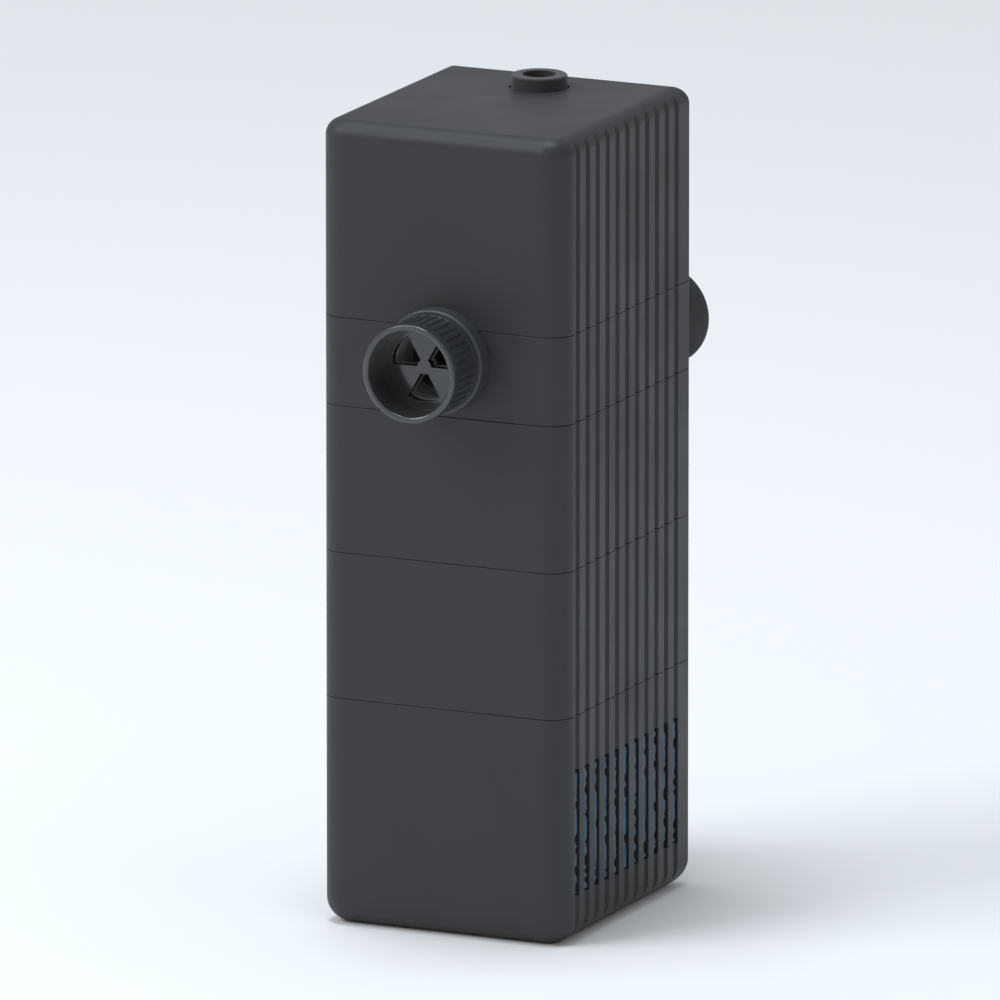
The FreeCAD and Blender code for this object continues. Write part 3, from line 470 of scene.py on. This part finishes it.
def smooth_line(points, steps, closed=False):
    """More points along a line that passes smoothly through the given ones."""
    count = len(points)
    made = []
    for number in range(count if closed else count - 1):
        if closed:
            around = [points[(number + offset) % count] for offset in (-1, 0, 1, 2)]
        else:
            around = [points[min(max(number + offset, 0), count - 1)] for offset in (-1, 0, 1, 2)]
        before, start, end, after = (Vector(point) for point in around)
        for step in range(steps):
            t = step / steps
            bend = start * 2 + (end - before) * t
            bend += (before * 2 - start * 5 + end * 4 - after) * t**2
            bend += (start * 3 - before - end * 3 + after) * t**3
            made.append(bend / 2)
    return made if closed else made + [Vector(points[-1])]


def lathe(shape, profile, sides, place, closed=False):
    """Turns a profile of (radius, height) round an axis that a matrix puts in place."""
    rows = []
    for radius, height in profile:
        if radius < ON_AXIS:
            rows.append([shape.verts.new(place @ Vector((0, 0, height)))])
            continue
        row = []
        for side in range(sides):
            turn = math.tau * side / sides
            point = Vector((radius * math.cos(turn), radius * math.sin(turn), height))
            row.append(shape.verts.new(place @ point))
        rows.append(row)
    pairs = list(zip(rows, rows[1:]))
    if closed:
        pairs.append((rows[-1], rows[0]))
    for low_row, high_row in pairs:
        for side in range(sides):
            following = (side + 1) % sides
            low_pair = (low_row[side], low_row[following]) if len(low_row) > 1 else (low_row[0],)
            high_pair = (high_row[following], high_row[side]) if len(high_row) > 1 else (high_row[0],)
            shape.faces.new(low_pair + high_pair)
    bmesh.ops.recalc_face_normals(shape, faces=shape.faces[:])


def ring_profile():
    """The section of one ceramic ring: a wall with worn round rims."""
    end, rim, turned = RING_HALF_LENGTH, RING_RIM, RING_RIM * RING_RIM_ROUND
    halfway = (RING_LEVELS - 1) / 2
    points = [(RING_OUTER, (end - rim) * (level / halfway - 1)) for level in range(RING_LEVELS)]
    points += [(RING_OUTER - turned, end - turned), (RING_OUTER - rim, end)]
    points += [(RING_BORE + rim, end), (RING_BORE + turned, end - turned)]
    points += [(RING_BORE, (end - rim) * (1 - level / halfway)) for level in range(RING_LEVELS)]
    points += [(RING_BORE + turned, turned - end), (RING_BORE + rim, -end)]
    points += [(RING_OUTER - rim, -end), (RING_OUTER - turned, turned - end)]
    return points


def make_ceramic_media():
    """All the rings as one piece, each in its own place in the two layers."""
    low, high = (Vector(corner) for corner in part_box("ceramic_rings"))
    draw = random.Random(RING_SEED)
    room = [top - bottom for bottom, top in zip(low, high)]
    pitch = [(room[axis] - 2 * RING_OUTER) / max(RING_COUNTS[axis] - 1, 1) for axis in range(2)]
    layer = room[2] / RING_COUNTS[2]
    profile = ring_profile()

    def fill(shape):
        for number in range(math.prod(RING_COUNTS)):
            column, rest = number % RING_COUNTS[0], number // RING_COUNTS[0]
            line, level = rest % RING_COUNTS[1], rest // RING_COUNTS[1]
            middle = Vector(
                (
                    low.x + RING_OUTER + column * pitch[0],
                    low.y + RING_OUTER + line * pitch[1],
                    low.z + (level + 0.5) * layer,
                )
            )
            about = draw.choice(RING_TURNED_ABOUT)
            turn = Matrix.Rotation(math.radians(90), 4, about) if about else Matrix()
            tilt = Matrix.Rotation(draw.uniform(-RING_TILT, RING_TILT), 4, "Z")
            lathe(shape, profile, RING_SIDES, Matrix.Translation(middle) @ tilt @ turn, closed=True)
        shape.normal_update()
        for vertex in shape.verts:
            lump = sum(noise.noise(vertex.co * fineness) * share for fineness, share in CLAY_LUMPS)
            vertex.co += vertex.normal * CLAY_ROUGHNESS * min(lump, CLAY_LUMP_LIMIT)

    piece = new_object("ceramic_media_rings", fill)
    smooth(piece, angle=60)
    piece.data.materials.append(sintered_ceramic)
    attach(piece, "lower_tray")
    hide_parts("ceramic_rings")


def speckled(name, pale, dark, roughness, speck_scale, pit_depth, **sockets):
    """A fired or pressed material: two tones in fine specks over a broad cloud, with small pits."""
    material = new_material(name, pale, roughness, **sockets)
    tree = material.node_tree
    shader = tree.nodes["Principled BSDF"]
    place = tree.nodes.new("ShaderNodeTexCoord").outputs["Object"]
    speck = put(tree, "ShaderNodeTexNoise", Vector=place, Scale=speck_scale, Detail=5.0, Roughness=0.7)
    coarser = speck_scale / BROAD_TIMES_SPECK
    cloud = put(tree, "ShaderNodeTexNoise", Vector=place, Scale=coarser, Detail=3.0)
    fine = calc(tree, "MULTIPLY", ramp(tree, speck.outputs["Fac"], *SPECK_RANGE), SPECK_SHARE)
    broad = ramp(tree, cloud.outputs["Fac"], *BROAD_RANGE, 0.0, BROAD_SHARE)
    tone = blend(tree, calc(tree, "ADD", fine, broad, clamp=True), pale, dark)
    tree.links.new(tone, shader.inputs["Base Color"])
    dullest = min(roughness + BROAD_DULLS, 1.0)
    uneven = ramp(tree, cloud.outputs["Fac"], *CLOUD_RANGE, roughness, dullest)
    tree.links.new(uneven, shader.inputs["Roughness"])
    relief = put(tree, "ShaderNodeBump", Height=speck.outputs["Fac"], Distance=pit_depth, Strength=0.7)
    tree.links.new(relief.outputs[0], shader.inputs["Normal"])
    return material


sintered_ceramic = speckled(
    "sintered_ceramic",
    pale=(0.80, 0.72, 0.60),
    dark=(0.55, 0.45, 0.34),
    roughness=0.82,
    speck_scale=1800.0,
    pit_depth=0.12 * MM,
)
make_ceramic_media()

# ---------------------------------------------------------------- carbon pad and floss pad
# The upper tray holds two pads: a foam loaded with black carbon dust below, and a pad of white polyester
# floss above it. The floss is a tangle of crimped fibres, pressed into a slab and cut to size.

CARBON_CELL = 1.15 * MM
CARBON_STEP = 0.34 * MM
CARBON_DEPTH = 0.42 * MM
CARBON_CORNER = 2.0 * MM
CARBON_BLACK = (0.035, 0.035, 0.036)
# Painted shade deep in the carbon foam's open cells.
CARBON_PORE_SHADE_BLACK = (0.006, 0.006, 0.006)
FLOSS_STEP = 0.8 * MM
FLOSS_CORNER = 3.0 * MM
FLOSS_LUMP = 0.7 * MM
FLOSS_LUMPS_PER_METRE = 260
FLOSS_LUMP_FRACTAL = (0.8, 2.0, 4)
FLOSS_MARGIN = 0.8 * MM
FLOSS_SAG = 1.2 * MM
FLOSS_SAG_FROM = 0.8
FLOSS_SAG_WIDTH = 0.2
FIBRE_SEED = 29
FIBRE_COUNT = 520
FIBRE_RADIUS = 0.07 * MM
FIBRE_SIDES = 3
FIBRE_STEPS = 14
FIBRE_INSET = 2.5 * MM
FIBRE_SUNK = (0.2, 0.5)
FIBRE_LENGTHS = (3.0 * MM, 9.0 * MM)
FIBRE_RISES = (0.2 * MM, FLOSS_MARGIN * 0.7)
FIBRE_STRAY = 1.1
FIBRE_CURL = 2.2
FIBRE_SWAY = 0.5
FIBRE_SWAY_TURNS = 9
FIBRE_CRIMP = 0.15 * MM
FIBRE_CRIMP_TURNS = 14


def make_carbon_pad():
    """The carbon foam, cut like the sponge but with finer cells."""
    low, high = (Vector(corner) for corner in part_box("carbon_sponge"))
    piece = pad_block("carbon_pad_foam", low, high, CARBON_STEP, CARBON_CORNER)
    foam_skin(piece, CARBON_CELL, CARBON_DEPTH, seed=17.0)
    smooth(piece, angle=180)
    declare_pad(piece, "carbon_sponge", "upper_tray", carbon_foam)


def add_fibre(shape, start, heading, length, rise, draw):
    """One crimped fibre: a thin three-sided tube that wanders over the pad's top."""
    points = []
    sway = draw.uniform(0, math.tau)
    curl = draw.uniform(-FIBRE_CURL, FIBRE_CURL)
    reach = length / (FIBRE_STEPS - 1)
    for step in range(FIBRE_STEPS):
        t = step / (FIBRE_STEPS - 1)
        turn = heading + curl * (t - 0.5) + FIBRE_SWAY * math.sin(sway + FIBRE_SWAY_TURNS * t)
        last = points[-1] if points else start
        x = last.x + reach * math.cos(turn)
        y = last.y + reach * math.sin(turn)
        lift = rise * math.sin(math.pi * t) + FIBRE_CRIMP * math.sin(sway + FIBRE_CRIMP_TURNS * t)
        points.append(Vector((x, y, start.z + lift)))
    rows = []
    for number, point in enumerate(points):
        ahead = points[min(number + 1, len(points) - 1)] - points[max(number - 1, 0)]
        across = ahead.cross(Vector((0, 0, 1))).normalized()
        over = across.cross(ahead).normalized()
        row = []
        for corner in range(FIBRE_SIDES):
            angle = math.tau * corner / FIBRE_SIDES
            offset = (across * math.cos(angle) + over * math.sin(angle)) * FIBRE_RADIUS
            row.append(shape.verts.new(point + offset))
        rows.append(row)
    for near, far in zip(rows, rows[1:]):
        for corner in range(FIBRE_SIDES):
            following = (corner + 1) % FIBRE_SIDES
            shape.faces.new((near[corner], near[following], far[following], far[corner]))
    shape.faces.new(rows[0][::-1])
    shape.faces.new(rows[-1])


def make_floss_pad():
    """A lumpy slab that sags towards its rim, with loose fibres over its top."""
    low, high = (Vector(corner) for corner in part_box("floss_pad"))
    inset = Vector((0, 0, FLOSS_MARGIN))
    piece = pad_block("floss_pad_fleece", low, high - inset, FLOSS_STEP, FLOSS_CORNER)
    middle = (low + high) / 2
    half = (high - low) / 2
    for vertex in piece.data.vertices:
        lump = (noise.fractal(vertex.co * FLOSS_LUMPS_PER_METRE, *FLOSS_LUMP_FRACTAL) + 1) / 2
        vertex.co -= vertex.normal * FLOSS_LUMP * lump
        near_rim = max(abs(vertex.co.x - middle.x) / half.x, abs(vertex.co.y - middle.y) / half.y)
        if vertex.co.z > middle.z:
            vertex.co.z -= FLOSS_SAG * max(0.0, near_rim - FLOSS_SAG_FROM) / FLOSS_SAG_WIDTH
    smooth(piece, angle=180)
    declare_pad(piece, "floss_pad", "upper_tray", fleece)
    draw = random.Random(FIBRE_SEED)
    reach_x, reach_y = half.x - FIBRE_INSET, half.y - FIBRE_INSET

    def fill(shape):
        for _ in range(FIBRE_COUNT):
            length = draw.uniform(*FIBRE_LENGTHS)
            start = Vector(
                (
                    middle.x + draw.uniform(-reach_x, reach_x),
                    middle.y + draw.uniform(-reach_y, reach_y),
                    high.z - FLOSS_MARGIN - draw.uniform(*FIBRE_SUNK) * FLOSS_LUMP,
                )
            )
            rise = draw.uniform(*FIBRE_RISES)
            inward = math.atan2(middle.y - start.y, middle.x - start.x)
            stray = draw.uniform(-FIBRE_STRAY, FIBRE_STRAY)
            add_fibre(shape, start, inward + stray, length, rise, draw)

    fibres = new_object("floss_pad_fibres", fill)
    smooth(fibres, angle=180)
    fibres.data.materials.append(fleece)
    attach(fibres, "upper_tray")


carbon_foam = foam("carbon_foam", bright=CARBON_BLACK, pore_shade_colour=CARBON_PORE_SHADE_BLACK, roughness=0.85)
fleece = speckled(
    "polyester_fleece",
    pale=(0.86, 0.87, 0.85),
    dark=(0.62, 0.64, 0.62),
    roughness=0.78,
    speck_scale=1500.0,
    pit_depth=0.25 * MM,
    Sheen_Weight=0.35,
)
make_carbon_pad()
make_floss_pad()

# ---------------------------------------------------------------- outlet nozzle
# The collar is pressed through the wall of the pump ring, and the knurled ring turns on it to open and
# shut the three windows. Both are moulded in a denser, smoother charcoal plastic with a polished rim.

BORE_RADIUS = 5.45 * MM
BORE_FADE = 0.1 * MM
DEPOSIT_CHALK = (0.46, 0.47, 0.48)
DEPOSIT_PER_METRE = 420.0
DEPOSIT_RANGE = (0.3, 0.6)
DEPOSIT_COVER = (0.75, 1.0)

# The pale bluish tone on this plastic's rounded edges is a painted highlight on the ring's rim and ridges,
# on top of its real gloss.
nozzle_plastic = moulded_plastic(
    "nozzle_plastic",
    dark=(0.027, 0.028, 0.030),
    pale=(0.062, 0.070, 0.076),
    roughness=(0.17, 0.24),
    grain_depth=0.003 * MM,
    edge_radius=0.15 * MM,
    Specular_IOR_Level=0.55,
    Coat_Weight=0.5,
    Coat_Roughness=0.10,
)
collar_plastic = moulded_plastic(
    "collar_plastic",
    dark=(0.038, 0.040, 0.043),
    pale=(0.075, 0.080, 0.085),
    roughness=(0.30, 0.42),
    grain_depth=0.01 * MM,
    Specular_IOR_Level=0.5,
)


def add_scale_deposit(material, colour):
    """A pale chalky film on the wall of the outlet's bore, where hard water dries."""
    tree = material.node_tree
    shader = tree.nodes["Principled BSDF"]
    low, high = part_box("outlet_collar")
    axis_height = (low[2] + high[2]) / 2
    place = tree.nodes.new("ShaderNodeTexCoord").outputs["Object"]
    apart = put(tree, "ShaderNodeSeparateXYZ", Vector=place)
    up = calc(tree, "SUBTRACT", apart.outputs["Z"], axis_height)
    up_squared = calc(tree, "MULTIPLY", up, up)
    across_squared = calc(tree, "POWER", apart.outputs["X"], 2.0)
    off_axis = calc(tree, "SQRT", calc(tree, "ADD", up_squared, across_squared))
    inside = ramp(tree, off_axis, BORE_RADIUS + BORE_FADE, BORE_RADIUS)
    patchy = put(tree, "ShaderNodeTexNoise", Vector=place, Scale=DEPOSIT_PER_METRE, Detail=4.0)
    cover = ramp(tree, patchy.outputs["Fac"], *DEPOSIT_RANGE, *DEPOSIT_COVER)
    bare = shader.inputs["Base Color"].links[0].from_socket
    tone = blend(tree, calc(tree, "MULTIPLY", inside, cover), bare, colour)
    tree.links.new(tone, shader.inputs["Base Color"])


add_scale_deposit(collar_plastic, DEPOSIT_CHALK)
dress(nozzle_plastic, "flow_ring")
dress(collar_plastic, "outlet_collar")

# ---------------------------------------------------------------- suction cups
# Two soft rubber cups on the back hold the filter to the glass. Each is one moulding: a head buttoned
# through the wall, a shoulder, a waist, and a thin bell with a rounded lip.

CUP_SIDES = 72
CUP_LINE_STEPS = 4
# The height that comes to the glass. The lip stays a hair short of it.
CUP_STAND_OFF = 8.0
# Radius and height in millimetres, from the middle of the head round the lip to the middle of the bell.
CUP_PROFILE = (
    (0.0, -3.2),
    (2.6, -3.2),
    (3.25, -3.05),
    (3.5, -2.6),
    (3.4, -2.05),
    (3.05, -1.85),
    (2.5, -1.8),
    (2.38, -1.6),
    (2.38, -0.15),
    (2.6, 0.02),
    (3.5, 0.03),
    (3.9, 0.25),
    (3.98, 0.8),
    (3.85, 1.4),
    (3.35, 1.62),
    (2.85, 1.8),
    (2.65, 2.3),
    (2.7, 3.1),
    (3.15, 3.9),
    (4.3, 4.75),
    (5.7, 5.65),
    (6.9, 6.6),
    (7.6, 7.25),
    (7.82, 7.6),
    (7.76, 7.88),
    (7.5, 7.98),
    (7.15, 7.9),
    (6.4, 7.2),
    (5.2, 6.3),
    (3.8, 5.5),
    (2.2, 4.95),
    (0.9, 4.75),
    (0.0, 4.72),
)


def make_cup(name, node):
    """One cup, turned to face the glass, with its lip at the far side of the CAD cup's box."""
    low, high = (Vector(corner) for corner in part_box(node))
    seat = Vector(((low.x + high.x) / 2, high.y - CUP_STAND_OFF * MM, (low.z + high.z) / 2))
    turn = Matrix.Rotation(math.radians(-90), 4, "X")
    curve = smooth_line(CUP_PROFILE, CUP_LINE_STEPS)
    line = [(max(radius, 0.0) * MM, height * MM) for radius, height in curve]
    line[0] = (0.0, line[0][1])
    line[-1] = (0.0, line[-1][1])

    def fill(shape):
        lathe(shape, line, CUP_SIDES, Matrix.Translation(seat) @ turn)

    piece = new_object(name, fill)
    smooth(piece, angle=50)
    piece.data.materials.append(cup_rubber)
    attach(piece, "pump")
    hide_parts(node)


cup_rubber = moulded_plastic(
    "cup_rubber",
    dark=(0.026, 0.027, 0.029),
    pale=(0.050, 0.052, 0.056),
    roughness=(0.46, 0.60),
    grain_depth=0.006 * MM,
    edge_radius=0.4 * MM,
    Sheen_Weight=0.12,
    Sheen_Roughness=0.4,
)
make_cup("suction_cup_left_bell", "suction_cup_left")
make_cup("suction_cup_right_bell", "suction_cup_right")

# ---------------------------------------------------------------- pump chamber
# The chamber is moulded in grey glass-filled plastic. Its lid with the intake eye and the motor's can are
# black, paler and smoother where they rub. The can closes the chamber on a flat rubber gasket.

pump_plastic = moulded_plastic(
    "pump_plastic",
    dark=(0.020, 0.020, 0.022),
    pale=(0.045, 0.046, 0.049),
    roughness=(0.46, 0.62),
    grain_depth=0.03 * MM,
    edge_radius=0.25 * MM,
)
chamber_plastic = moulded_plastic(
    "chamber_plastic",
    dark=(0.17, 0.175, 0.18),
    pale=(0.24, 0.245, 0.25),
    roughness=(0.44, 0.58),
    grain_depth=0.02 * MM,
    edge_radius=0.25 * MM,
)
dress(pump_plastic, "impeller_cover", "motor_housing")
dress(chamber_plastic, "volute_housing")

# ---------------------------------------------------------------- rubber seals, bushes, pads and gland
# The gasket, the outlet seal, the two shaft bushes, the four pads under the motor and the cord's gland are
# cut or moulded from black nitrile rubber, matt with a faint bloom.

seal_rubber = moulded_plastic(
    "seal_rubber",
    dark=(0.016, 0.016, 0.017),
    pale=(0.042, 0.043, 0.045),
    roughness=(0.62, 0.80),
    grain_depth=0.02 * MM,
    edge_radius=0.2 * MM,
    Sheen_Weight=0.2,
    Sheen_Roughness=0.5,
)
dress(seal_rubber, "lower_bush", "upper_bush", "volute_gasket", "outlet_seal", "motor_pads", "cable_gland")

# ---------------------------------------------------------------- rotor
# The impeller is moulded in natural, slightly milky plastic with straight vanes. It drives off a two-pole
# ferrite magnet, ground round, and both spin on a polished ceramic shaft.

impeller_plastic = moulded_plastic(
    "impeller_plastic",
    dark=(0.66, 0.67, 0.64),
    pale=(0.80, 0.81, 0.79),
    roughness=(0.28, 0.40),
    grain_depth=0.008 * MM,
    edge_radius=0.25 * MM,
    Subsurface_Weight=0.15,
    Subsurface_Scale=0.002,
)
ferrite = speckled(
    "ground_ferrite",
    pale=(0.055, 0.055, 0.058),
    dark=(0.025, 0.025, 0.027),
    roughness=0.38,
    speck_scale=3200.0,
    pit_depth=0.02 * MM,
    Metallic=0.35,
)
shaft_ceramic = speckled(
    "polished_shaft_ceramic",
    pale=(0.88, 0.88, 0.85),
    dark=(0.80, 0.79, 0.75),
    roughness=0.10,
    speck_scale=2400.0,
    pit_depth=0.003 * MM,
    Coat_Weight=0.3,
    Coat_Roughness=0.05,
)
dress(impeller_plastic, "impeller")
dress(ferrite, "rotor_magnet")
dress(shaft_ceramic, "rotor_shaft")

# ---------------------------------------------------------------- motor windings and core
# The core is a stack of punched steel sheets. Enamelled copper wire is wound in neat turns on two
# glass-filled bobbins pushed over its legs, and black resin is poured round them up to the can's rim.

SHEET_THICKNESS = 0.5 * MM
WIRE_PITCH = 0.24 * MM
GROOVE_FLANK = (0.05, 0.6)
STAIN_PER_METRE = 350.0
STAIN_RANGE = (0.35, 0.7)
STAIN_LEAVES = 0.55
STAIN_DULLS = 0.15


def make_stack_lines():
    """Fine parallel lines at one pitch along an axis: 0 in the grooves and 1 on the crowns."""
    group, given, result = new_group(
        "stack_lines", {"Along": 0.0, "Pitch": SHEET_THICKNESS}, {"Crown": "NodeSocketFloat"}
    )
    turns = calc(group, "DIVIDE", given.outputs["Along"], given.outputs["Pitch"])
    there = calc(group, "PINGPONG", calc(group, "MULTIPLY", turns, 2.0), 1.0)
    group.links.new(ramp(group, there, *GROOVE_FLANK), result.inputs["Crown"])
    return group


stack_lines = make_stack_lines()


def layered_metal(name, bright, shade, roughness, axis, pitch, depth, **sockets):
    """A metal laid up in fine layers or turns along one axis, darker and deeper between them."""
    material = new_material(name, bright, roughness, **sockets)
    tree = material.node_tree
    shader = tree.nodes["Principled BSDF"]
    place = tree.nodes.new("ShaderNodeTexCoord").outputs["Object"]
    along = put(tree, "ShaderNodeSeparateXYZ", Vector=place).outputs[axis]
    lines = put(tree, "ShaderNodeGroup", {"node_tree": stack_lines}, Along=along, Pitch=pitch)
    stain = put(tree, "ShaderNodeTexNoise", Vector=place, Scale=STAIN_PER_METRE, Detail=4.0)
    cloudy = ramp(tree, stain.outputs["Fac"], *STAIN_RANGE, STAIN_LEAVES, 1.0)
    tone = blend(tree, calc(tree, "MULTIPLY", lines.outputs["Crown"], cloudy), shade, bright)
    tree.links.new(tone, shader.inputs["Base Color"])
    uneven = ramp(tree, stain.outputs["Fac"], *CLOUD_RANGE, roughness, roughness + STAIN_DULLS)
    tree.links.new(uneven, shader.inputs["Roughness"])
    relief = put(tree, "ShaderNodeBump", Height=lines.outputs["Crown"], Distance=depth, Strength=0.8)
    tree.links.new(relief.outputs[0], shader.inputs["Normal"])
    return material


lamination_steel = layered_metal(
    "lamination_steel",
    bright=(0.42, 0.43, 0.45),
    shade=(0.12, 0.11, 0.11),
    roughness=0.38,
    axis="Z",
    pitch=SHEET_THICKNESS,
    depth=0.05 * MM,
    Metallic=0.9,
)
copper_turns = layered_metal(
    "copper_turns",
    bright=(0.72, 0.31, 0.13),
    shade=(0.22, 0.07, 0.03),
    roughness=0.26,
    axis="Y",
    pitch=WIRE_PITCH,
    depth=0.08 * MM,
    Metallic=1.0,
    Coat_Weight=0.5,
    Coat_Roughness=0.12,
)
bobbin_plastic = moulded_plastic(
    "bobbin_plastic",
    dark=(0.66, 0.63, 0.53),
    pale=(0.78, 0.76, 0.68),
    roughness=(0.44, 0.58),
    grain_depth=0.02 * MM,
)
potting_resin = moulded_plastic(
    "potting_resin",
    dark=(0.013, 0.013, 0.015),
    pale=(0.028, 0.028, 0.031),
    roughness=(0.10, 0.22),
    grain_depth=0.004 * MM,
    Coat_Weight=0.4,
    Coat_Roughness=0.08,
)
dress(lamination_steel, "stator_core")
dress(copper_turns, "winding_left", "winding_right")
dress(bobbin_plastic, "bobbin_left", "bobbin_right")
dress(potting_resin, "potting_resin")
